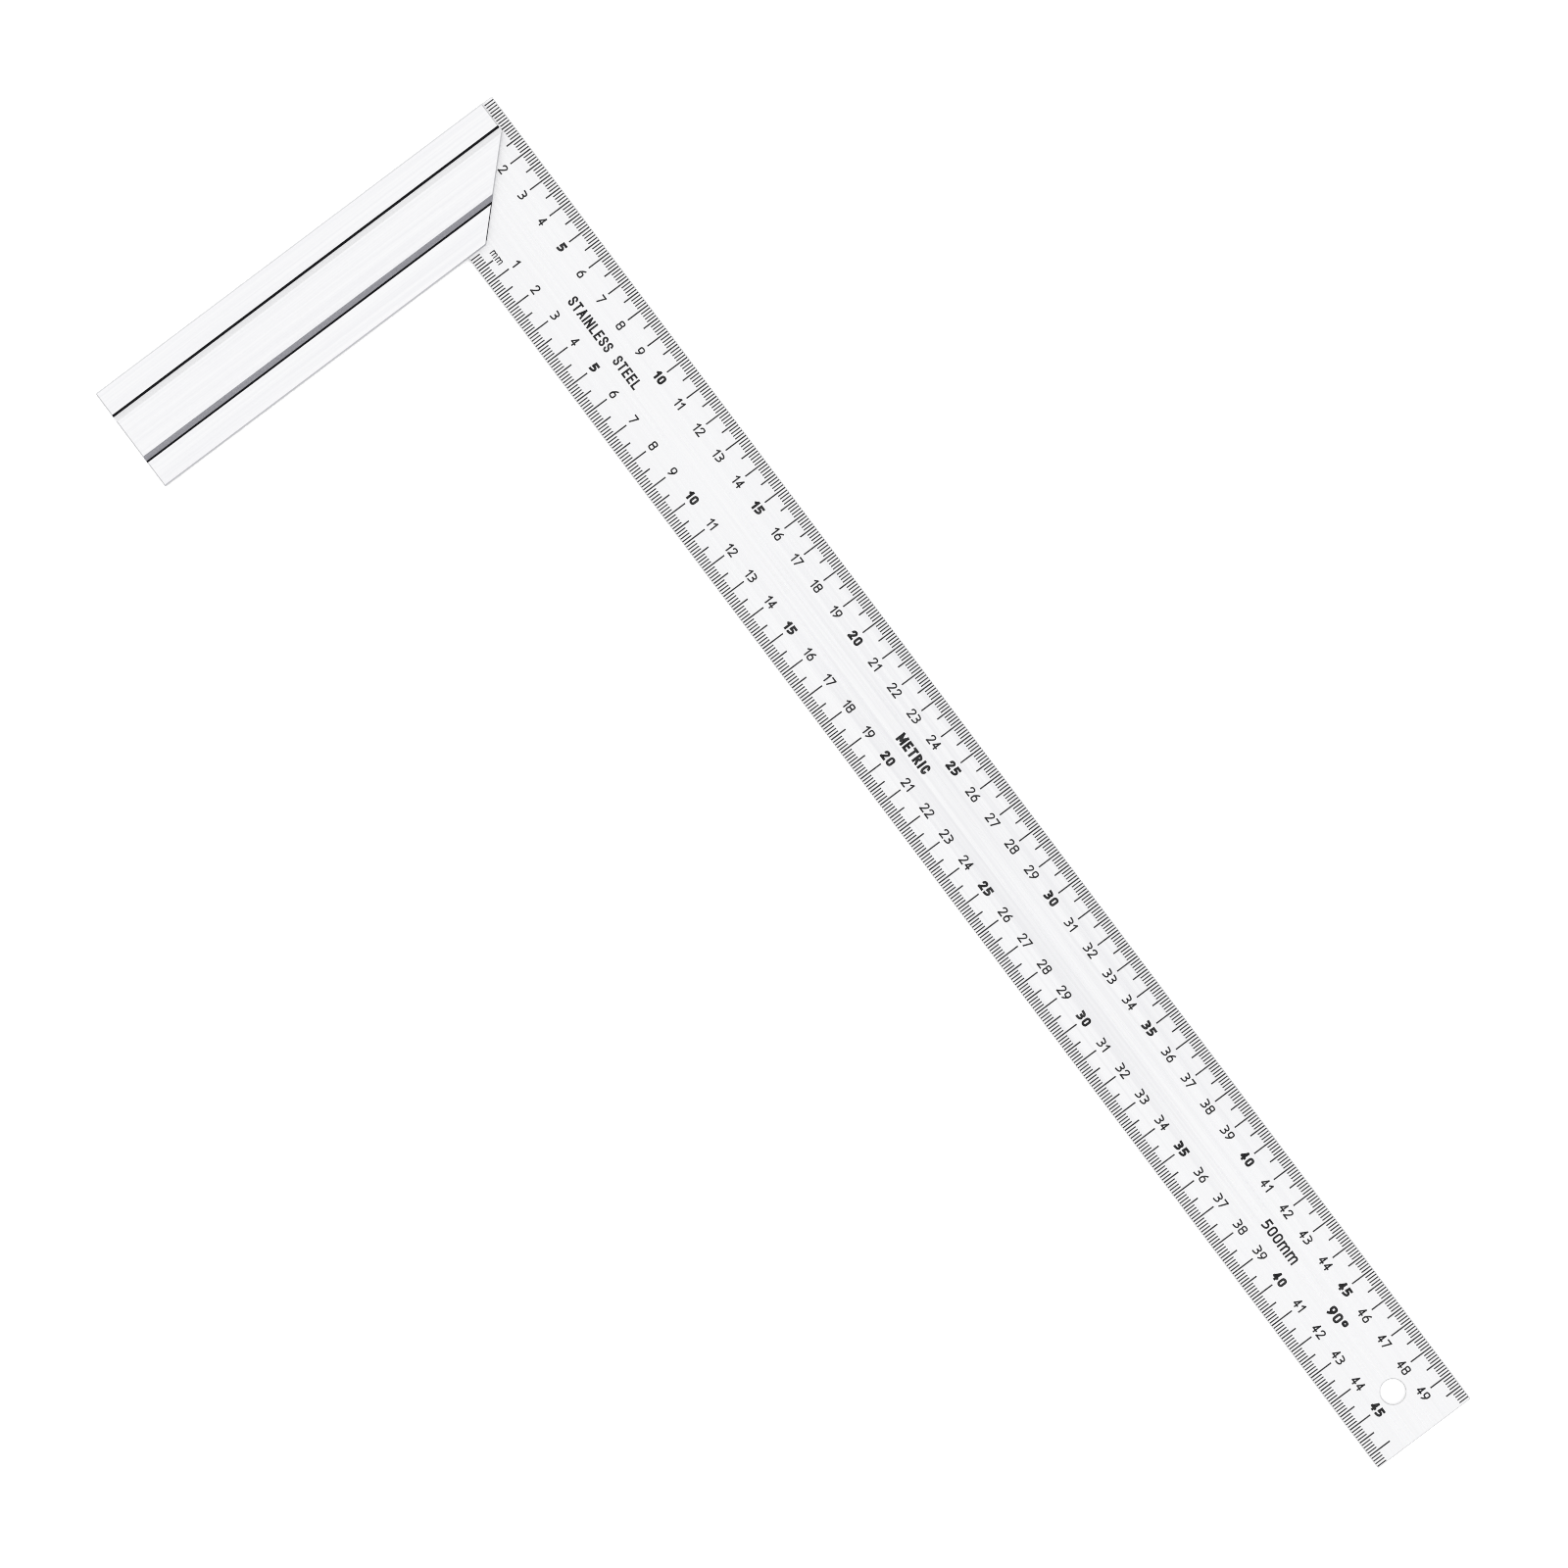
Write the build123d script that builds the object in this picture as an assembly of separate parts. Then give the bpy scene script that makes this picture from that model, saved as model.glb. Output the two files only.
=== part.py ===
from build123d import *
import os
from math import atan2, degrees

# A flat square for marking out: a long stainless blade set at right angles in an aluminium stock.
# Millimetres. The origin is the outside corner of the heel, halfway through the blade's thickness.
# +X runs along the blade to its tip, -Y runs down the stock to its free end, +Z leaves the shown face.

# Blade: flat strip whose outer edge lies on Y = 0
BLADE_LENGTH = 500.0
BLADE_WIDTH = 35.5
BLADE_THICKNESS = 1.2
BLADE_EDGE_BREAK = 0.15
TIP_CORNER_RADIUS = 0.4
HANGING_HOLE_RADIUS = 4.0
HANGING_HOLE_FROM_TIP = 16.0

# Stock: extruded bar whose outer face lies on X = 0
STOCK_WIDTH = 35.5
STOCK_END = 152.0
STOCK_TOP = 3.8
MITRE_START = 10.5
FLANGE_THICKNESS = 10.0
RIB_THICKNESS = 12.6
STOCK_CHAMFER = 0.4
END_CHAMFER = 0.3

# Raised rib along the middle of both faces, with a narrow deep groove at each foot
OUTER_FLANGE = 8.3
INNER_FLANGE = 8.95
OUTER_GROOVE = 0.85
INNER_GROOVE = 0.65
GROOVE_DEPTH = 1.6
FLANK_WIDTH = 1.7
RIB_TOP_RADIUS = 0.4

# Blind pins pressed in from the back face, through the blade and into the front jaw
PIN_RADIUS = 1.5
PIN_REACH = 2.2
PIN_END_CHAMFER = 0.25
PIN_PLACES = {
    "blade_pin_outer": (4.3, -19.5, FLANGE_THICKNESS / 2),
    "blade_pin_centre": (17.4, -26.5, RIB_THICKNESS / 2),
    "blade_pin_inner": (30.8, -31.0, FLANGE_THICKNESS / 2),
}

CUT_MARGIN = 1.0


def upright(x, y, radius, bottom, top):
    """A cylinder along Z at x, y from bottom to top."""
    return Pos(x, y, (bottom + top) / 2) * Cylinder(radius, top - bottom)


def pin_holes():
    """The space that the pins fill, cut out of both the stock and the blade."""
    front = BLADE_THICKNESS / 2 + PIN_REACH
    return [upright(x, y, PIN_RADIUS, -depth, front) for x, y, depth in PIN_PLACES.values()]


def make_blade():
    middle = Pos(BLADE_LENGTH / 2, -BLADE_WIDTH / 2, 0)
    blade = middle * Box(BLADE_LENGTH, BLADE_WIDTH, BLADE_THICKNESS)
    tip_corners = blade.edges().filter_by(Axis.Z).group_by(Axis.X)[-1]
    blade = fillet(tip_corners, TIP_CORNER_RADIUS)
    half = BLADE_THICKNESS / 2 + CUT_MARGIN
    hole_x = BLADE_LENGTH - HANGING_HOLE_FROM_TIP
    blade -= upright(hole_x, -BLADE_WIDTH / 2, HANGING_HOLE_RADIUS, -half, half)
    # the outline and the hanging hole are deburred on both faces
    faces = blade.faces().sort_by(Axis.Z)
    rims = faces[0].edges() + faces[-1].edges()
    blade = chamfer(rims, BLADE_EDGE_BREAK)
    for hole in pin_holes():
        blade -= hole
    return blade


def stock_section():
    """The stock's cross-section, seen along Y: local x is X and local y is Z."""
    flange = FLANGE_THICKNESS / 2
    rib = RIB_THICKNESS / 2
    floor = flange - GROOVE_DEPTH
    rib_start = OUTER_FLANGE + OUTER_GROOVE
    rib_end = STOCK_WIDTH - INNER_FLANGE - INNER_GROOVE
    upper = [
        (0, flange - STOCK_CHAMFER),
        (STOCK_CHAMFER, flange),
        (OUTER_FLANGE, flange),
        (OUTER_FLANGE, floor),
        (rib_start, floor),
        (rib_start, flange),
        (rib_start + FLANK_WIDTH, rib),
        (rib_end - FLANK_WIDTH, rib),
        (rib_end, flange),
        (rib_end, floor),
        (rib_end + INNER_GROOVE, floor),
        (rib_end + INNER_GROOVE, flange),
        (STOCK_WIDTH - STOCK_CHAMFER, flange),
        (STOCK_WIDTH, flange - STOCK_CHAMFER),
    ]
    lower = [(x, -z) for x, z in reversed(upper)]
    section = make_face(Polyline(*upper, *lower, close=True))
    rib_corners = [v for v in section.vertices() if abs(abs(v.Y) - rib) < 0.001]
    return fillet(rib_corners, RIB_TOP_RADIUS)


def make_stock():
    section = Plane.XZ.offset(STOCK_TOP) * stock_section()
    stock = extrude(section, STOCK_END - STOCK_TOP)
    # the corner beside the blade is sawn off at 45 degrees
    past = STOCK_WIDTH + CUT_MARGIN
    low, high = on_mitre(past), on_mitre(MITRE_START - CUT_MARGIN)
    mitre = Polyline(low, high, (low[0], high[1]), close=True)
    stock -= extrude(make_face(mitre), RIB_THICKNESS, both=True)
    for bar in edge_bars():
        stock -= bar
    # the slot that the blade stands in, open at the top and at both sides
    slot_height = BLADE_WIDTH - STOCK_TOP + CUT_MARGIN
    slot = Box(STOCK_WIDTH + 2 * CUT_MARGIN, slot_height, BLADE_THICKNESS)
    stock -= Pos(STOCK_WIDTH / 2, slot_height / 2 - BLADE_WIDTH, 0) * slot
    for hole in pin_holes():
        stock -= hole
    return stock


def on_mitre(x):
    """The point at x on the line of the 45 degree cut."""
    return (x, MITRE_START - STOCK_TOP - x)


def edge_bars():
    """Square bars on edge that break the sawn edges of the flanges and of the rib, on both faces.

    They end in the middle of a groove, where there is no metal for them to touch.
    """
    outer_groove = OUTER_FLANGE + OUTER_GROOVE / 2
    inner_groove = STOCK_WIDTH - INNER_FLANGE - INNER_GROOVE / 2
    past = STOCK_WIDTH + CUT_MARGIN
    flange = FLANGE_THICKNESS / 2
    rib = RIB_THICKNESS / 2
    runs = [
        ((-CUT_MARGIN, -STOCK_TOP), (outer_groove, -STOCK_TOP), flange),
        (on_mitre(inner_groove), on_mitre(past), flange),
        (on_mitre(outer_groove), on_mitre(inner_groove), rib),
        ((-CUT_MARGIN, -STOCK_END), (outer_groove, -STOCK_END), flange),
        ((inner_groove, -STOCK_END), (past, -STOCK_END), flange),
        ((outer_groove, -STOCK_END), (inner_groove, -STOCK_END), rib),
    ]
    side = END_CHAMFER * 2**0.5
    bars = []
    for (x0, y0), (x1, y1), level in runs:
        run = Vector(x1 - x0, y1 - y0, 0)
        bar = Rot(0, 0, degrees(atan2(run.Y, run.X))) * Rot(45, 0, 0) * Box(run.length, side, side)
        for z in (-level, level):
            bars.append(Pos((x0 + x1) / 2, (y0 + y1) / 2, z) * bar)
    return bars


def make_pin(x, y, depth):
    front = BLADE_THICKNESS / 2 + PIN_REACH
    pin = upright(x, y, PIN_RADIUS, -depth, front)
    return chamfer(pin.faces().sort_by(Axis.Z)[-1].edges(), PIN_END_CHAMFER)


os.makedirs("parts", exist_ok=True)
export_step(make_blade(), "parts/blade.step")
export_step(make_stock(), "parts/stock.step")
for name, place in PIN_PLACES.items():
    export_step(make_pin(*place), f"parts/{name}.step")
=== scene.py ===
import math

import bmesh
import bpy
from mathutils import Matrix, Vector


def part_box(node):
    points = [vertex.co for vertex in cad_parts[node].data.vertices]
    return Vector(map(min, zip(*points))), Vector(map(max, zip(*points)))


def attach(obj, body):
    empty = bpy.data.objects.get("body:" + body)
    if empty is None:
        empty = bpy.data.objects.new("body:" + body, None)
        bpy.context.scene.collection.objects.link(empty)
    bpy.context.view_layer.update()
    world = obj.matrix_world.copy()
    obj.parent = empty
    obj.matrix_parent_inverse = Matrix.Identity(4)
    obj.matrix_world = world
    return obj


bl_info = {
    "name": "Steel Square Finisher",
    "version": (1, 0, 0),
    "blender": (4, 5, 0),
    "location": "View3D > Sidebar > Steel Square",
    "description": "Marks the scales on a steel square, finishes its metals and sets the stage",
    "category": "Object",
}

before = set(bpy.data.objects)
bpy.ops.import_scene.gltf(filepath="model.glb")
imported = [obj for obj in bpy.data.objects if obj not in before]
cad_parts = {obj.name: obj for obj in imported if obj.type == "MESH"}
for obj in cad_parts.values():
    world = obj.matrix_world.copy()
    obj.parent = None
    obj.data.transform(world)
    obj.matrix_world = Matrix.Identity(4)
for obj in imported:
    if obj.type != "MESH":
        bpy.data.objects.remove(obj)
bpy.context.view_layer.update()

# Metres. The origin is the outside corner of the heel, halfway through the blade's thickness.
# +X runs along the blade to its tip, -Y runs down the stock, and +Z leaves the front face.

MM = 0.001
BODY = "root"
BLADE_LOW, BLADE_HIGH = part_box("blade")
STOCK_LOW, STOCK_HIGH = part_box("stock")
PIN_NODES = [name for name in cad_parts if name.startswith("blade_pin")]
BLADE_MIDDLE_Y = (BLADE_LOW.y + BLADE_HIGH.y) / 2
STOCK_MIDDLE_X = (STOCK_LOW.x + STOCK_HIGH.x) / 2
STOCK_HALF_WIDTH = (STOCK_HIGH.x - STOCK_LOW.x) / 2
FLANGE_LEVEL = 5.0 * MM  # half the stock's thickness beside its rib
SIDES = {"front": 1, "back": -1}


def linear(hex_colour):
    """An sRGB colour such as "#C0C0C0" as the linear red, green and blue that shaders take."""
    channels = [int(hex_colour[i : i + 2], 16) / 255 for i in (1, 3, 5)]
    return tuple(c / 12.92 if c <= 0.04045 else ((c + 0.055) / 1.055) ** 2.4 for c in channels)


def length(name, millimetres, description):
    """A length property whose default is given in millimetres."""
    return bpy.props.FloatProperty(
        name=name, description=description, default=millimetres * MM, min=0, unit="LENGTH", precision=5
    )


def colour(name, hex_colour, description):
    """A colour property whose default is given as sRGB hex."""
    return bpy.props.FloatVectorProperty(
        name=name, description=description, default=linear(hex_colour),
        size=3, min=0, max=1, subtype="COLOR",
    )


def angle(name, degrees, description):
    """An angle property whose default is given in degrees."""
    return bpy.props.FloatProperty(
        name=name, description=description, default=math.radians(degrees), subtype="ANGLE"
    )


def number(name, default, description):
    """A property that is a plain number, never below zero."""
    return bpy.props.FloatProperty(name=name, description=description, default=default, min=0)


class ScaleSettings(bpy.types.PropertyGroup):
    """Sizes of the graduations and lettering on the blade."""

    millimetre_tick: length("Millimetre Tick", 3.5, "Length of the line at each millimetre")
    half_tick: length("Half Centimetre Tick", 5.6, "Length of the line at each 5 mm")
    centimetre_tick: length("Centimetre Tick", 7.9, "Length of the line at each centimetre")
    tick_width: length("Tick Width", 0.4, "Width of the line at each millimetre")
    long_tick_width: length("Long Tick Width", 0.46, "Width of the lines at 5 mm and each centimetre")
    edge_gap: length("Edge Gap", 0.15, "From the blade's edge to the start of the lines")
    numeral_gap: length("Numeral Gap", 9.1, "From the blade's edge to the near side of the numerals")
    tip_gap: length("Tip Gap", 5, "From the last numeral's line to the blade's tip, at least")
    numeral_height: length("Numeral Height", 3.1, "Height of the centimetre numerals")
    mark_height: length("Mark Height", 3.5, "Height of the capitals along the middle of the blade")
    unit_height: length("Unit Height", 2.1, "Height of the capitals that go with the small unit mark")
    plain_stroke: length("Plain Stroke", 0.48, "Width of the lines of a plain numeral")
    bold_stroke: length("Bold Stroke", 0.78, "Width of the lines of a bold numeral")
    mark_stroke: length("Mark Stroke", 0.62, "Width of the lines of the capitals along the middle")
    bold_mark_stroke: length("Bold Mark Stroke", 0.84, "Width of the lines of their bold capitals")
    letter_gap: length("Letter Gap", 0.48, "Clear space between two characters")
    ink_proud: length("Ink Proud", 0.02, "How far the ink stands out of the steel")
    ink_sunk: length("Ink Sunk", 0.03, "How far the ink fills the etched steel")


class FinishSettings(bpy.types.PropertyGroup):
    """Colours of the metals and of the ink."""

    steel_light: colour("Steel Light", "#E7E7E8", "Brushed steel where the grain is fine")
    steel_dark: colour("Steel Dark", "#DEDEE0", "Brushed steel along a coarser scratch")
    aluminium_light: colour("Aluminium Light", "#EAEAEB", "Anodised aluminium between die lines")
    aluminium_dark: colour("Aluminium Dark", "#E5E5E7", "Anodised aluminium along a die line")
    aluminium_edge: colour("Aluminium Edge", "#ECECEE", "Rubbed long edges of the stock")
    # painted shade: near-black colour for the grooves at the rib's foot, standing in for the shade deep in
    # those creases
    groove: colour("Groove", "#0E0E12", "Dull oxide in the groove at the rib's foot")
    pin: colour("Pin", "#B4B4B8", "Ground end of a steel pin")
    ink: colour("Ink", "#101012", "Black filling of the etched marks")


class StageSettings(bpy.types.PropertyGroup):
    """Floor, light and camera."""

    floor_colour: colour("Floor Colour", "#F7F7F7", "Plain matt floor")
    floor_size: length("Floor Size", 40000, "Side of the square floor")
    overhead: number("Overhead", 1.2, "Brightness of the wide soft light straight above")
    surround: number("Surround", 0.48, "Brightness of the plain grey walls round the stage")
    ground: number("Ground", 0.84, "Brightness of the ground that shows in the metal")
    side_panel: number("Side Panel", 1.15, "Brightness of the panel that faces the stock's outer side")
    cool_side: colour("Cool Side", "#B9B9C6", "Tint of the wall on the blade's side")
    floor_lamp: number("Floor Lamp", 0.8, "Brightness that the lamp straight above gives a white floor")
    lamp_spread: angle("Lamp Spread", 20, "Width of that lamp in the sky, which softens its shadows")
    frame_width: length("Frame Width", 481.3, "Width of the view where it crosses the blade")
    focal_length: number("Focal Length", 600, "Camera focal length in millimetres")
    camera_turn: angle("Camera Turn", 53.07, "Turn of the view about the vertical")
    aim: bpy.props.FloatVectorProperty(
        name="Aim", description="Point of the blade's plane in the middle of the view",
        default=(222.6 * MM, -55.1 * MM, 0), size=3, subtype="TRANSLATION",
    )


# Lettering: each character is a list of strokes, and each stroke is a list of points along its middle.
# A point is given in digit widths to the right and capital heights up.

GLYPH_WIDTH = 0.56  # width of a digit, as a part of its height, between the middles of its strokes
WORD_SPACE = 0.9  # width of a blank, in digit widths


def ring(low, high):
    """A loop with round corners, as wide as a digit, between two heights."""
    middle = (low + high) / 2
    return [(0, middle), (0, low), (1, low), (1, middle), (1, high), (0, high), (0, middle)]


def turned(strokes):
    """The strokes turned by half a turn about the middle of a digit."""
    return [[(1 - x, 1 - y) for x, y in points] for points in strokes]


SIX = [ring(0, 0.6), [(0, 0.3), (0, 0.7), (0.8, 1)]]
GLYPHS = {
    "0": [ring(0, 1)],
    "1": [[(0, 0.74), (0.42, 0.96)], [(0.5, 1), (0.5, 0)]],
    "2": [[(0, 0.78), (0, 1), (1, 1), (1, 0.6), (0, 0)], [(0, 0), (1, 0)]],
    "3": [
        [(0, 1), (1, 1), (1, 0.53), (0.35, 0.53)],
        [(0.35, 0.53), (1, 0.53), (1, 0), (0, 0)],
    ],
    "4": [[(0.7, 1), (0, 0.28)], [(0, 0.28), (1, 0.28)], [(0.7, 1), (0.7, 0)]],
    "5": [[(0.95, 1), (0.08, 1)], [(0.08, 1), (0.02, 0.55)], [(0.02, 0.55), (1, 0.7), (1, 0), (0, 0)]],
    "6": SIX,
    "7": [[(0, 1), (1, 1)], [(1, 1), (0.3, 0)]],
    "8": [ring(0, 0.54), ring(0.54, 1)],
    "9": turned(SIX),
    "A": [[(0, 0), (0.45, 1)], [(0.45, 1), (0.9, 0)], [(0.2, 0.33), (0.7, 0.33)]],
    "C": [[(0.8, 0.78), (0.8, 1), (0, 1), (0, 0), (0.8, 0), (0.8, 0.22)]],
    "E": [[(0, 1), (0, 0)], [(0, 1), (0.75, 1)], [(0, 0.52), (0.65, 0.52)], [(0, 0), (0.75, 0)]],
    "I": [[(0, 1), (0, 0)]],
    "L": [[(0, 1), (0, 0)], [(0, 0), (0.75, 0)]],
    "M": [[(0, 0), (0, 1)], [(0, 1), (0.65, 0.25)], [(0.65, 0.25), (1.3, 1)], [(1.3, 1), (1.3, 0)]],
    "N": [[(0, 0), (0, 1)], [(0, 1), (0.85, 0)], [(0.85, 0), (0.85, 1)]],
    "R": [[(0, 0), (0, 1)], [(0, 1), (0.8, 1), (0.8, 0.5), (0, 0.5)], [(0.4, 0.5), (0.85, 0)]],
    "S": [[(0.8, 0.78), (0.8, 1), (0, 1), (0, 0.58), (0.8, 0.44), (0.8, 0), (0, 0), (0, 0.22)]],
    "T": [[(0, 1), (0.8, 1)], [(0.4, 1), (0.4, 0)]],
    "°": [[(x * 0.8, y) for x, y in ring(0.56, 1)]],
    "m": [
        [(0, 0), (0, 0.85)],
        [(0, 0.6), (0.1, 0.85), (0.9, 0.85), (0.9, 0.5), (0.9, 0)],
        [(0.9, 0.6), (1, 0.85), (1.8, 0.85), (1.8, 0.5), (1.8, 0)],
    ],
    " ": [],
}


# Meshes


def add_piece(name, bm, material):
    """Turns a bmesh into a piece that rides on the square, with all its faces pointing outwards."""
    bmesh.ops.recalc_face_normals(bm, faces=bm.faces)
    mesh = bpy.data.meshes.new(name)
    bm.to_mesh(mesh)
    bm.free()
    mesh.materials.append(material)
    piece = bpy.data.objects.new(name, mesh)
    bpy.context.scene.collection.objects.link(piece)
    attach(piece, BODY)
    return piece


def face_place(side, x, y):
    """The matrix that lays a flat drawing on the blade's front or back, where it reads rightly."""
    face_z = BLADE_HIGH.z if side > 0 else BLADE_LOW.z
    turn = Matrix.Identity(4) if side > 0 else Matrix.Rotation(math.pi, 4, "Y")
    return Matrix.Translation((x, y, face_z)) @ turn


def add_bar(bm, place, low, high, settings):
    """A thin bar of ink between two corners of a flat drawing, sunk a little into the steel."""
    low = Vector((*low, -settings.ink_sunk))
    high = Vector((*high, settings.ink_proud))
    matrix = place @ Matrix.Translation((low + high) / 2) @ Matrix.Diagonal((*(high - low), 1))
    bmesh.ops.create_cube(bm, size=1, matrix=matrix)


def write(bm, text, place, height, stroke, settings):
    """Writes text on bm in flat raised strokes, with the middle of its line on its place."""
    curve = bpy.data.curves.new("strokes", "CURVE")
    curve.dimensions = "3D"
    curve.twist_mode = "Z_UP"
    curve.fill_mode = "FULL"
    curve.bevel_depth = stroke / 2
    curve.bevel_resolution = 0
    curve.use_fill_caps = True
    curve.resolution_u = 3
    tall = height - stroke
    wide = tall * GLYPH_WIDTH
    pen = 0
    for character in text:
        strokes = GLYPHS[character]
        for points in strokes:
            draw_stroke(curve, [Vector((pen + x * wide, (y - 0.5) * tall)) for x, y in points])
        reach = max((x for points in strokes for x, _ in points), default=WORD_SPACE)
        pen += reach * wide + stroke + settings.letter_gap
    line_length = pen - stroke - settings.letter_gap
    line = bpy.data.objects.new("line", curve)
    mesh = bpy.data.meshes.new_from_object(line)
    bpy.data.objects.remove(line)
    bpy.data.curves.remove(curve)
    flatten = Matrix.Diagonal((1, 1, 2 * settings.ink_proud / stroke, 1))
    mesh.transform(place @ flatten @ Matrix.Translation((-line_length / 2, 0, 0)))
    bm.from_mesh(mesh)
    bpy.data.meshes.remove(mesh)


def draw_stroke(curve, points):
    """Adds one stroke, which turns smoothly near each point between its ends.

    A loop names its first point again at its end. Any other stroke runs on at both ends by half its
    width, so that two strokes that meet fill their corner.
    """
    loop = points[0] == points[-1]
    if loop:
        points = points[:-1]
    else:
        first = points[0] + (points[0] - points[1]).normalized() * curve.bevel_depth
        last = points[-1] + (points[-1] - points[-2]).normalized() * curve.bevel_depth
        points = [first, *points[1:-1], last]
    spline = curve.splines.new("NURBS")
    spline.points.add(len(points) - 1)
    for spline_point, point in zip(spline.points, points):
        spline_point.co = (*point, 0, 1)
    spline.order_u = min(3, len(points))
    spline.use_cyclic_u = loop
    spline.use_endpoint_u = not loop


# Materials

FACTOR, FIRST, SECOND, MIXED = 0, 6, 7, 2  # places of the sockets on a Mix node for colours
NOISE_LOW, NOISE_HIGH = 0.3, 0.7  # nearly all of a noise lies between these
STREAKS_MIDDLE_X = 285 * MM  # where along the blade the painted reflection makes its streaks darkest
STREAKS_CLEAR = 60 * MM  # they are as clear up to this far from there
STREAKS_FAINT = 150 * MM  # and faintest from this far on
RUBBED_WIDTH = 0.55 * MM  # width of the rubbed metal along the stock's edges
GROOVE_START = 0.05 * MM  # how far below the flange a groove's wall starts to be painted dark as shade
SIDE_SKIN = 1 * MM  # depth of solid metal between the stock's sides and its grooves, at least
SAWN_LEAN = 0.6  # least part of a sawn face's normal that points along the stock


def add(tree, kind, inputs=None, **settings):
    """Adds a node and gives its outputs. An input is another node's socket or a fixed value."""
    node = tree.nodes.new(kind)
    for name, value in settings.items():
        setattr(node, name, value)
    for name, value in (inputs or {}).items():
        if isinstance(value, bpy.types.NodeSocket):
            tree.links.new(value, node.inputs[name])
        else:
            node.inputs[name].default_value = value
    return node.outputs


def new_material(name):
    """A material with no nodes yet, and its tree."""
    material = bpy.data.materials.new(name)
    material.use_nodes = True
    material.node_tree.nodes.clear()
    return material, material.node_tree


def grain(tree, point, size_mm, detail):
    """Noise whose spots measure size_mm along X, Y and Z, where one long side makes streaks."""
    scale = tuple(1 / (size * MM) for size in size_mm)
    mapped = add(tree, "ShaderNodeMapping", {"Vector": point, "Scale": scale})
    return add(tree, "ShaderNodeTexNoise", {"Vector": mapped[0], "Scale": 1.0, "Detail": detail})[0]


def opaque(shade):
    """A colour with the fourth number that a colour socket takes."""
    return (*shade, 1)


def brushed_stainless_steel(colours):
    """Cold-rolled strip brushed along its length: pale grey, satin, with fine lengthwise scratches."""
    material, tree = new_material("brushed_stainless_steel")
    point = add(tree, "ShaderNodeTexCoord")["Object"]
    # real scratches are about 0.05 mm wide, too fine to show, so these are drawn several times coarser
    scratches = grain(tree, point, (45, 0.4, 0.4), 3)
    streaks = grain(tree, point, (170, 1.5, 1.5), 2)
    # the streaks are real brushing grain, painted darker halfway along the blade and faint towards the heel
    # and the tip, as a painted reflection of the sheen along the middle
    along = add(tree, "ShaderNodeSeparateXYZ", {"Vector": point})["X"]
    away = add(tree, "ShaderNodeMath", {0: along, 1: STREAKS_MIDDLE_X}, operation="SUBTRACT")
    away = add(tree, "ShaderNodeMath", {0: away[0]}, operation="ABSOLUTE")
    painted_sheen_fade = {"From Min": STREAKS_CLEAR, "From Max": STREAKS_FAINT, "To Min": 1, "To Max": 0.25}
    painted_sheen_fade = add(tree, "ShaderNodeMapRange", {"Value": away[0], **painted_sheen_fade})
    tone = add(tree, "ShaderNodeMapRange", {"Value": streaks, "From Min": 0.4, "From Max": 0.65})
    tone = add(tree, "ShaderNodeMath", {0: tone[0], 1: painted_sheen_fade[0]}, operation="MULTIPLY")
    shades = {FACTOR: tone[0], FIRST: opaque(colours.steel_light), SECOND: opaque(colours.steel_dark)}
    base = add(tree, "ShaderNodeMix", shades, data_type="RGBA")
    satin = {"From Min": NOISE_LOW, "From Max": NOISE_HIGH, "To Min": 0.24, "To Max": 0.36}
    satin = add(tree, "ShaderNodeMapRange", {"Value": scratches, **satin})
    relief = add(tree, "ShaderNodeBump", {"Height": scratches, "Strength": 1.0, "Distance": 0.002 * MM})
    surface = {"Base Color": base[MIXED], "Roughness": satin[0], "Normal": relief[0], "Metallic": 1.0}
    shader = add(tree, "ShaderNodeBsdfPrincipled", surface)
    add(tree, "ShaderNodeOutputMaterial", {"Surface": shader[0]})
    return material


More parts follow.
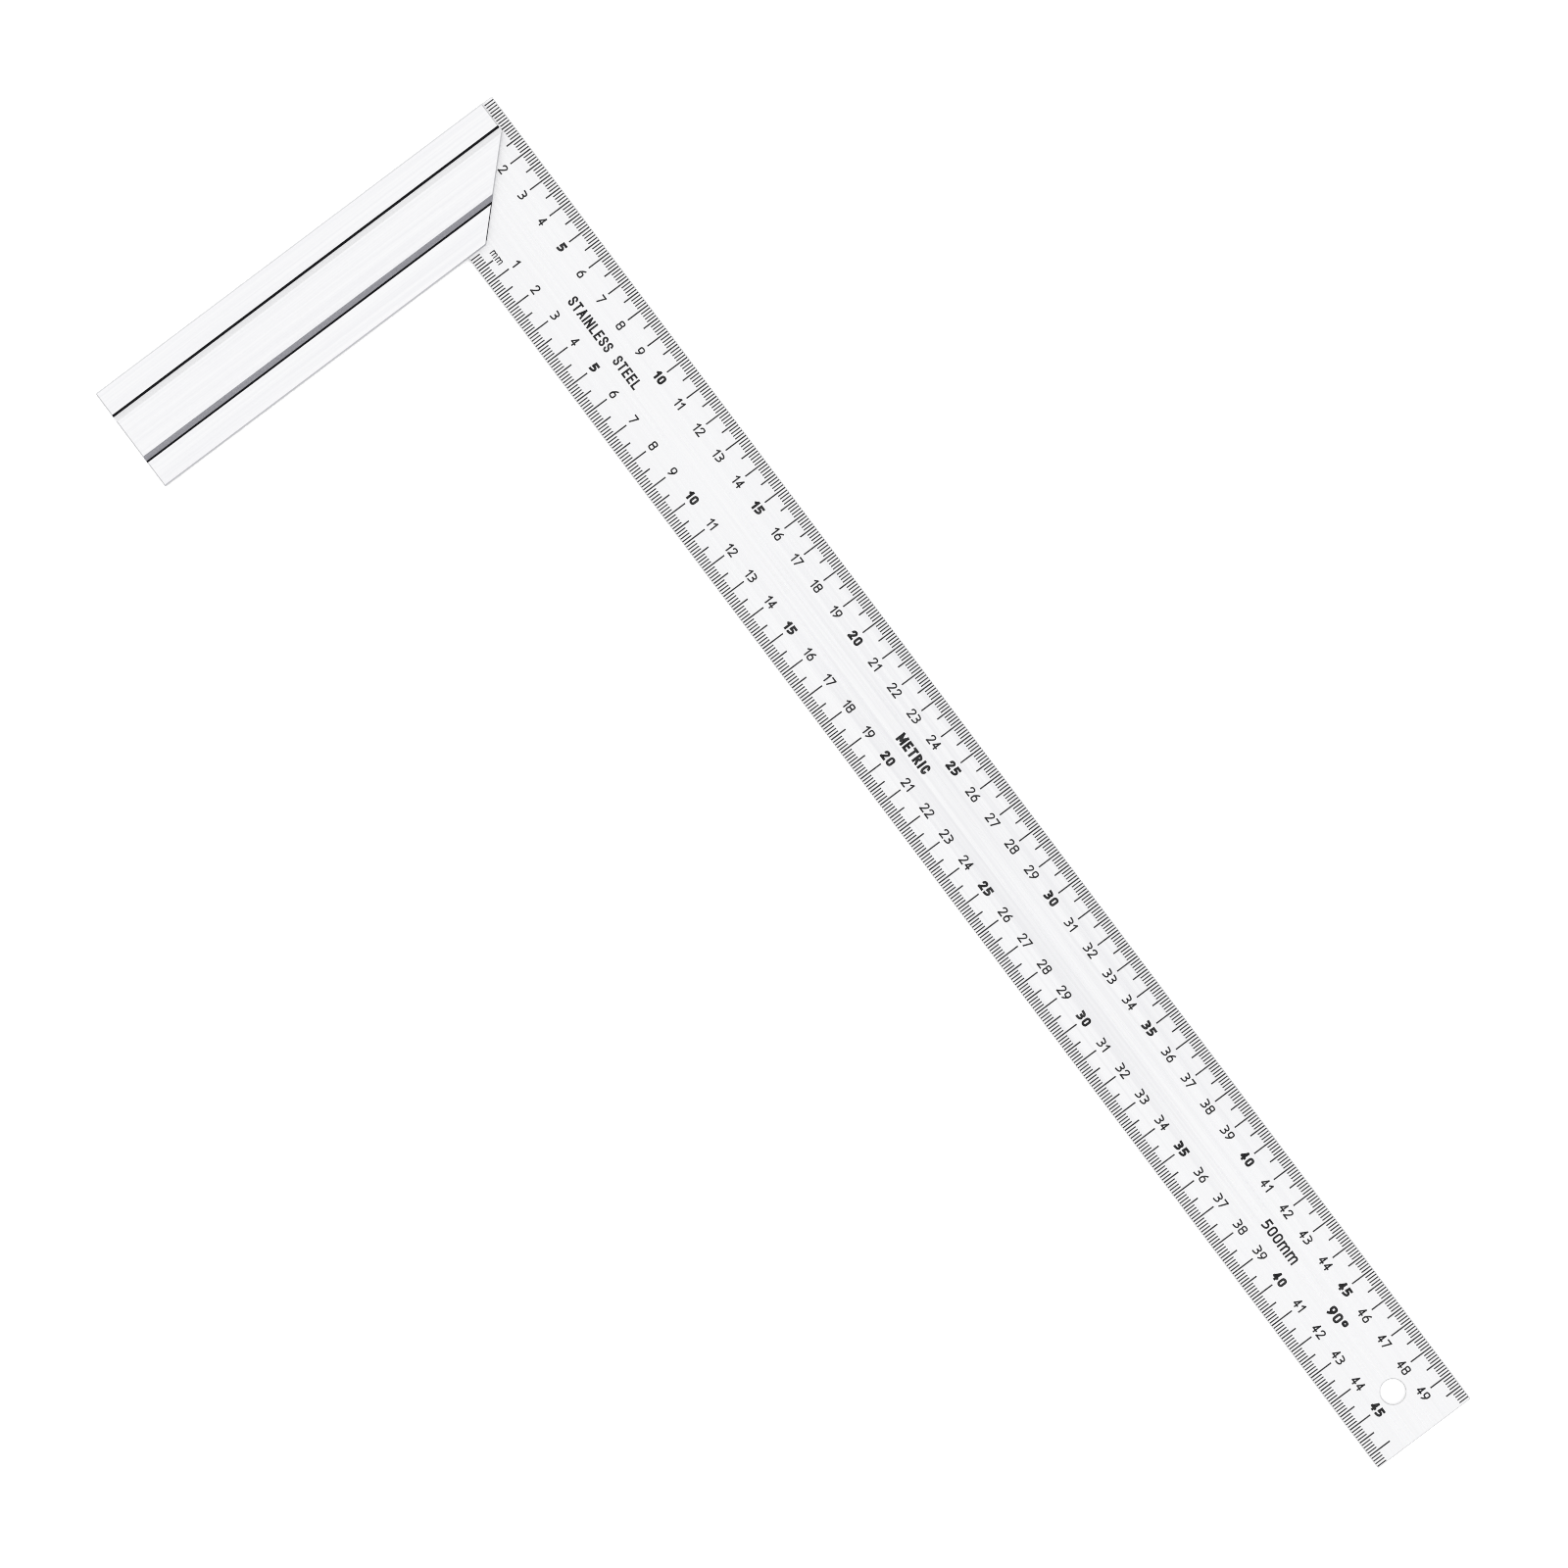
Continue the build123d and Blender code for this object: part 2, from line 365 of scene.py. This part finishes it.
def anodised_aluminium_extrusion(colours):
    """Extruded bar, clear anodised: silvery white and silky, with faint die lines along its length."""
    material, tree = new_material("anodised_aluminium_extrusion")
    point = add(tree, "ShaderNodeTexCoord")["Object"]
    axes = add(tree, "ShaderNodeSeparateXYZ", {"Vector": point})
    facing = add(tree, "ShaderNodeNewGeometry")["Normal"]
    facing = add(tree, "ShaderNodeSeparateXYZ", {"Vector": facing})
    # how far a point is from the blade's plane, and from the middle of the stock's width
    height = add(tree, "ShaderNodeMath", {0: axes["Z"]}, operation="ABSOLUTE")
    aside = add(tree, "ShaderNodeMath", {0: axes["X"], 1: STOCK_MIDDLE_X}, operation="SUBTRACT")
    aside = add(tree, "ShaderNodeMath", {0: aside[0]}, operation="ABSOLUTE")
    # faces that the saw cut look up or down the stock
    sawn = add(tree, "ShaderNodeMath", {0: facing["Y"]}, operation="ABSOLUTE")
    sawn = add(tree, "ShaderNodeMath", {0: sawn[0], 1: SAWN_LEAN}, operation="GREATER_THAN")
    smooth = add(tree, "ShaderNodeMath", {0: 1.0, 1: sawn[0]}, operation="SUBTRACT")
    # the four long edges, where handling has rubbed the anodising
    at_side = {0: aside[0], 1: STOCK_HALF_WIDTH - RUBBED_WIDTH}
    at_side = add(tree, "ShaderNodeMath", at_side, operation="GREATER_THAN")
    at_face = {0: height[0], 1: FLANGE_LEVEL - RUBBED_WIDTH}
    at_face = add(tree, "ShaderNodeMath", at_face, operation="GREATER_THAN")
    rubbed = add(tree, "ShaderNodeMath", {0: at_face[0], 1: at_side[0]}, operation="MULTIPLY")
    # painted shade: the groove at each foot of the rib, below the flanges and inside the bar, is painted
    # near-black, non-metal
    below = {0: height[0], 1: FLANGE_LEVEL - GROOVE_START}
    below = add(tree, "ShaderNodeMath", below, operation="LESS_THAN")
    inside = {0: aside[0], 1: STOCK_HALF_WIDTH - SIDE_SKIN}
    inside = add(tree, "ShaderNodeMath", inside, operation="LESS_THAN")
    painted_groove_shade = add(tree, "ShaderNodeMath", {0: below[0], 1: inside[0]}, operation="MULTIPLY")
    painted_groove_shade = add(tree, "ShaderNodeMath", {0: painted_groove_shade[0], 1: smooth[0]}, operation="MULTIPLY")
    bright = add(tree, "ShaderNodeMath", {0: 1.0, 1: painted_groove_shade[0]}, operation="SUBTRACT")
    die_lines = grain(tree, point, (0.8, 130, 0.8), 2)
    silk = grain(tree, point, (0.5, 0.5, 0.5), 3)
    saw_marks = grain(tree, point, (0.35, 0.35, 9), 2)
    tone = add(tree, "ShaderNodeMapRange", {"Value": die_lines, "From Min": 0.35, "From Max": 0.65})
    light, dark = opaque(colours.aluminium_light), opaque(colours.aluminium_dark)
    base = add(tree, "ShaderNodeMix", {FACTOR: tone[0], FIRST: light, SECOND: dark}, data_type="RGBA")
    cut = add(tree, "ShaderNodeMath", {0: sawn[0], 1: saw_marks}, operation="MULTIPLY")
    # the look of each of these places covers what is there so far
    covers = ((cut, colours.aluminium_edge), (rubbed, colours.aluminium_edge), (painted_groove_shade, colours.groove))
    for place, shade in covers:
        shades = {FACTOR: place[0], FIRST: base[MIXED], SECOND: opaque(shade)}
        base = add(tree, "ShaderNodeMix", shades, data_type="RGBA")
    # sawn metal is a little rougher than drawn metal, and the painted groove shade is much rougher
    rough = {"From Min": NOISE_LOW, "From Max": NOISE_HIGH, "To Min": 0.3, "To Max": 0.4}
    rough = add(tree, "ShaderNodeMapRange", {"Value": silk, **rough})
    rough = add(tree, "ShaderNodeMath", {0: sawn[0], 1: 0.12, 2: rough[0]}, operation="MULTIPLY_ADD")
    rough = add(tree, "ShaderNodeMath", {0: painted_groove_shade[0], 1: 0.5, 2: rough[0]}, operation="MULTIPLY_ADD")
    relief = add(tree, "ShaderNodeMix", {"Factor": sawn[0], "A": die_lines, "B": saw_marks})
    relief = add(tree, "ShaderNodeBump", {"Height": relief[0], "Strength": 1.0, "Distance": 0.003 * MM})
    surface = {"Base Color": base[MIXED], "Roughness": rough[0], "Normal": relief[0], "Metallic": bright[0]}
    shader = add(tree, "ShaderNodeBsdfPrincipled", surface)
    add(tree, "ShaderNodeOutputMaterial", {"Surface": shader[0]})
    return material


def ground_steel(colours):
    """Carbon steel ground flush with the stock: satin, and darker than the aluminium round it."""
    material, tree = new_material("ground_steel")
    point = add(tree, "ShaderNodeTexCoord")["Object"]
    grinding = grain(tree, point, (0.12, 3, 0.12), 2)
    noise = {"Value": grinding, "From Min": NOISE_LOW, "From Max": NOISE_HIGH}
    tone = add(tree, "ShaderNodeMapRange", noise)
    scratched = tuple(channel * 0.8 for channel in colours.pin)
    shades = {FACTOR: tone[0], FIRST: opaque(colours.pin), SECOND: opaque(scratched)}
    base = add(tree, "ShaderNodeMix", shades, data_type="RGBA")
    rough = add(tree, "ShaderNodeMapRange", {**noise, "To Min": 0.3, "To Max": 0.45})
    relief = add(tree, "ShaderNodeBump", {"Height": grinding, "Strength": 1.0, "Distance": 0.004 * MM})
    surface = {"Base Color": base[MIXED], "Roughness": rough[0], "Normal": relief[0], "Metallic": 1.0}
    shader = add(tree, "ShaderNodeBsdfPrincipled", surface)
    add(tree, "ShaderNodeOutputMaterial", {"Surface": shader[0]})
    return material


def etching_ink(colours):
    """Black stoving lacquer rubbed into etched lines: matt, nearly even, slightly worn in places."""
    material = bpy.data.materials.get("etching_ink")
    if material:
        return material
    material, tree = new_material("etching_ink")
    point = add(tree, "ShaderNodeTexCoord")["Object"]
    wear = grain(tree, point, (2.5, 2.5, 2.5), 3)
    tone = add(tree, "ShaderNodeMapRange", {"Value": wear, "From Min": 0.45, "From Max": 0.75})
    worn = tuple(channel + 0.03 for channel in colours.ink)
    shades = {FACTOR: tone[0], FIRST: opaque(colours.ink), SECOND: opaque(worn)}
    base = add(tree, "ShaderNodeMix", shades, data_type="RGBA")
    rough = {"From Min": NOISE_LOW, "From Max": NOISE_HIGH, "To Min": 0.5, "To Max": 0.65}
    rough = add(tree, "ShaderNodeMapRange", {"Value": wear, **rough})
    surface = {"Base Color": base[MIXED], "Roughness": rough[0], "Specular IOR Level": 0.3}
    shader = add(tree, "ShaderNodeBsdfPrincipled", surface)
    add(tree, "ShaderNodeOutputMaterial", {"Surface": shader[0]})
    return material


def studio_floor(stage):
    """Matt white board: even, with no gloss."""
    material, tree = new_material("studio_floor")
    surface = {"Base Color": opaque(stage.floor_colour), "Roughness": 0.95, "Specular IOR Level": 0.1}
    shader = add(tree, "ShaderNodeBsdfPrincipled", surface)
    add(tree, "ShaderNodeOutputMaterial", {"Surface": shader[0]})
    return material


def assign(node, material):
    """Gives a CAD node its finish."""
    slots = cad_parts[node].data.materials
    slots.clear()
    slots.append(material)


# Operators

ROUNDING = 0.001  # part of a millimetre that a whole count may be out by
CENTIMETRE = 10 * MM


class FinishBlade(bpy.types.Operator):
    """Give the blade its brushed steel"""

    bl_idname = "square.finish_blade"
    bl_label = "Finish Blade"

    def execute(self, context):
        assign("blade", brushed_stainless_steel(context.scene.square_finish))
        return {"FINISHED"}


class FinishStock(bpy.types.Operator):
    """Give the stock its anodised aluminium"""

    bl_idname = "square.finish_stock"
    bl_label = "Finish Stock"

    def execute(self, context):
        assign("stock", anodised_aluminium_extrusion(context.scene.square_finish))
        return {"FINISHED"}


class FinishPins(bpy.types.Operator):
    """Give the pins their ground steel"""

    bl_idname = "square.finish_pins"
    bl_label = "Finish Pins"

    def execute(self, context):
        material = ground_steel(context.scene.square_finish)
        for node in PIN_NODES:
            assign(node, material)
        return {"FINISHED"}


# Each scale: where it starts along the blade, the edge that it stands on, the way in from that edge,
# and its first numeral that the stock doesn't hide
SCALES = {
    "outer": (BLADE_LOW.x, BLADE_HIGH.y, -1, 2),
    "inner": (STOCK_HIGH.x, BLADE_LOW.y, 1, 1),
}


class CutScales(bpy.types.Operator):
    """Cut the millimetre lines along both edges of both faces"""

    bl_idname = "square.cut_scales"
    bl_label = "Cut Scales"

    def execute(self, context):
        settings = context.scene.square_scales
        ink = etching_ink(context.scene.square_finish)
        for scale, (start, edge, inwards, _) in SCALES.items():
            for face, side in SIDES.items():
                bm = bmesh.new()
                past_last = math.ceil((BLADE_HIGH.x - start) / MM - ROUNDING)
                for count in range(1, past_last):
                    self.add_tick(bm, settings, side, start + count * MM, edge, inwards, count)
                add_piece(f"{scale}_scale_{face}", bm, ink)
        return {"FINISHED"}

    @staticmethod
    def add_tick(bm, settings, side, x, edge, inwards, count):
        """Adds the line of one millimetre, which is longer at each fifth and longest at each tenth."""
        reach = settings.millimetre_tick
        half = settings.tick_width / 2
        if count % 5 == 0:
            reach = settings.centimetre_tick if count % 10 == 0 else settings.half_tick
            half = settings.long_tick_width / 2
        near, far = sorted((inwards * settings.edge_gap, inwards * reach))
        add_bar(bm, face_place(side, x, edge), (-half, near), (half, far), settings)


class PrintNumerals(bpy.types.Operator):
    """Print the centimetre numerals, each fifth one bold"""

    bl_idname = "square.print_numerals"
    bl_label = "Print Numerals"

    def execute(self, context):
        settings = context.scene.square_scales
        ink = etching_ink(context.scene.square_finish)
        for scale, (start, edge, inwards, first) in SCALES.items():
            y = edge + inwards * (settings.numeral_gap + settings.numeral_height / 2)
            last = math.floor((BLADE_HIGH.x - start - settings.tip_gap) / CENTIMETRE)
            for face, side in SIDES.items():
                bm = bmesh.new()
                for count in range(first, last + 1):
                    place = face_place(side, start + count * CENTIMETRE, y)
                    stroke = settings.plain_stroke if count % 5 else settings.bold_stroke
                    write(bm, str(count), place, settings.numeral_height, stroke, settings)
                add_piece(f"{scale}_numerals_{face}", bm, ink)
        return {"FINISHED"}


# Marks along the middle of the blade: their characters, how far from the heel their middle is,
# and whether they are bold
MIDDLE_MARKS = {
    "grade_mark": ("STAINLESS STEEL", 81.3 * MM, False),
    "system_mark": ("METRIC", 239.1 * MM, True),
    "length_mark": ("500mm", 426.5 * MM, False),
    "angle_mark": ("90°", 455.7 * MM, True),
}
# The unit beside the stock: how far its middle is from the heel, the gap between it and the blade's
# inner edge, and its stroke as a part of a plain numeral's
UNIT_MARK_X = 40.4 * MM
UNIT_MARK_GAP = 6.0 * MM
UNIT_MARK_WEIGHT = 0.7


class PrintMarks(bpy.types.Operator):
    """Print the marks along the middle, and the unit beside the stock"""

    bl_idname = "square.print_marks"
    bl_label = "Print Marks"

    def execute(self, context):
        settings = context.scene.square_scales
        ink = etching_ink(context.scene.square_finish)
        for face, side in SIDES.items():
            for name, (words, x, bold) in MIDDLE_MARKS.items():
                bm = bmesh.new()
                place = face_place(side, x, BLADE_MIDDLE_Y)
                stroke = settings.bold_mark_stroke if bold else settings.mark_stroke
                write(bm, words, place, settings.mark_height, stroke, settings)
                add_piece(f"{name}_{face}", bm, ink)
            bm = bmesh.new()
            place = face_place(side, UNIT_MARK_X, BLADE_LOW.y + UNIT_MARK_GAP + settings.unit_height / 2)
            stroke = settings.plain_stroke * UNIT_MARK_WEIGHT
            write(bm, "mm", place, settings.unit_height, stroke, settings)
            add_piece(f"unit_mark_{face}", bm, ink)
        return {"FINISHED"}


FLOOR_GAP = 0.02 * MM  # keeps the floor out of the stock's back face
SENSOR_WIDTH = 36  # of the camera, in millimetres, as its focal length is
SIGHT = 20  # how far the camera sees, in distances to the square


class SetStage(bpy.types.Operator):
    """Lay the floor, light it softly and set the camera"""

    bl_idname = "square.set_stage"
    bl_label = "Set Stage"

    def execute(self, context):
        stage = context.scene.square_stage
        self.lay_floor(context, stage)
        self.light_world(context, stage)
        self.hang_lamp(context, stage)
        self.place_camera(context, stage)
        context.scene.view_settings.view_transform = "Standard"
        # a narrow filter and an unsmoothed denoiser keep the millimetre lines apart
        context.scene.cycles.filter_width = 1.0
        context.scene.cycles.denoising_prefilter = "NONE"
        return {"FINISHED"}

    @staticmethod
    def lay_floor(context, stage):
        """A wide matt board just under the stock, which doesn't show in the metal."""
        bm = bmesh.new()
        place = Matrix.Translation((0, 0, STOCK_LOW.z - FLOOR_GAP))
        bmesh.ops.create_grid(bm, x_segments=1, y_segments=1, size=stage.floor_size / 2, matrix=place)
        mesh = bpy.data.meshes.new("floor")
        bm.to_mesh(mesh)
        bm.free()
        mesh.materials.append(studio_floor(stage))
        floor = bpy.data.objects.new("floor", mesh)
        floor.visible_glossy = False
        context.scene.collection.objects.link(floor)

    @staticmethod
    def light_world(context, stage):
        """Soft light from above, grey walls, a bright panel towards -X, and a plain white backdrop.

        Each direction is a vector one long, so its X, Y and Z run from -1 to 1.
        """
        world = bpy.data.worlds.new("soft_studio")
        world.use_nodes = True
        tree = world.node_tree
        tree.nodes.clear()
        white = (1, 1, 1, 1)
        direction = add(tree, "ShaderNodeTexCoord")["Generated"]
        axes = add(tree, "ShaderNodeSeparateXYZ", {"Vector": direction})
        panel = {
            "Value": axes["X"], "From Min": -0.9, "From Max": -0.7,
            "To Min": stage.side_panel, "To Max": stage.surround,
        }
        panel = add(tree, "ShaderNodeMapRange", panel, interpolation_type="SMOOTHSTEP")
        cool = add(tree, "ShaderNodeMapRange", {"Value": axes["X"], "From Min": 0.3, "From Max": 0.8})
        tints = {FACTOR: cool[0], FIRST: white, SECOND: opaque(stage.cool_side)}
        tint = add(tree, "ShaderNodeMix", tints, data_type="RGBA")
        walls = add(tree, "ShaderNodeBackground", {"Color": tint[MIXED], "Strength": panel[0]})
        ground = add(tree, "ShaderNodeBackground", {"Color": white, "Strength": stage.ground})
        level = {"Value": axes["Z"], "From Min": 0.05, "From Max": 0.18}
        level = add(tree, "ShaderNodeMapRange", level, interpolation_type="SMOOTHSTEP")
        walls = add(tree, "ShaderNodeMixShader", {0: level[0], 1: ground[0], 2: walls[0]})
        ceiling = add(tree, "ShaderNodeBackground", {"Color": white, "Strength": stage.overhead})
        rise = {"Value": axes["Z"], "From Min": 0.5, "From Max": 0.85}
        rise = add(tree, "ShaderNodeMapRange", rise, interpolation_type="SMOOTHSTEP")
        soft = add(tree, "ShaderNodeMixShader", {0: rise[0], 1: walls[0], 2: ceiling[0]})
        backdrop = add(tree, "ShaderNodeBackground", {"Color": white, "Strength": 1.0})
        seen = add(tree, "ShaderNodeLightPath")["Is Camera Ray"]
        everywhere = add(tree, "ShaderNodeMixShader", {0: seen, 1: soft[0], 2: backdrop[0]})
        add(tree, "ShaderNodeOutputWorld", {"Surface": everywhere[0]})
        context.scene.world = world

    @staticmethod
    def hang_lamp(context, stage):
        """A lamp straight above that whitens the matt floor and doesn't show in the metal."""
        lamp = bpy.data.lights.new("floor_lamp", "SUN")
        lamp.energy = stage.floor_lamp * math.pi
        lamp.angle = stage.lamp_spread
        lamp_object = bpy.data.objects.new("floor_lamp", lamp)
        lamp_object.visible_glossy = False
        context.scene.collection.objects.link(lamp_object)

    @staticmethod
    def place_camera(context, stage):
        """A long lens straight above, turned so that the blade runs down to the right."""
        camera = bpy.data.cameras.new("camera")
        camera.lens = stage.focal_length
        camera.sensor_width = SENSOR_WIDTH
        distance = stage.frame_width * camera.lens / camera.sensor_width
        camera.clip_end = distance * SIGHT
        camera_object = bpy.data.objects.new("camera", camera)
        camera_object.location = Vector(stage.aim) + Vector((0, 0, distance))
        camera_object.rotation_euler = (0, 0, stage.camera_turn)
        context.scene.collection.objects.link(camera_object)
        context.scene.camera = camera_object


STEPS = (FinishBlade, FinishStock, FinishPins, CutScales, PrintNumerals, PrintMarks, SetStage)
SETTINGS = {
    "square_scales": ScaleSettings,
    "square_finish": FinishSettings,
    "square_stage": StageSettings,
}


class SquarePanel(bpy.types.Panel):
    """The steps in their order, with their sizes and colours"""

    bl_idname = "VIEW3D_PT_steel_square"
    bl_label = "Steel Square"
    bl_space_type = "VIEW_3D"
    bl_region_type = "UI"
    bl_category = "Steel Square"

    def draw(self, context):
        for step in STEPS:
            self.layout.operator(step.bl_idname)
        for settings in SETTINGS:
            group = getattr(context.scene, settings)
            box = self.layout.box()
            for name in group.bl_rna.properties.keys():
                if name not in ("rna_type", "name"):
                    box.prop(group, name)


CLASSES = (*SETTINGS.values(), *STEPS, SquarePanel)


def register():
    for cls in CLASSES:
        bpy.utils.register_class(cls)
    for name, cls in SETTINGS.items():
        setattr(bpy.types.Scene, name, bpy.props.PointerProperty(type=cls))


def unregister():
    for name in SETTINGS:
        delattr(bpy.types.Scene, name)
    for cls in reversed(CLASSES):
        bpy.utils.unregister_class(cls)


def main():
    """Registers the add-on and takes all the steps in their order."""
    register()
    for step in STEPS:
        group, name = step.bl_idname.split(".")
        getattr(getattr(bpy.ops, group), name)()


if __name__ == "__main__":
    main()
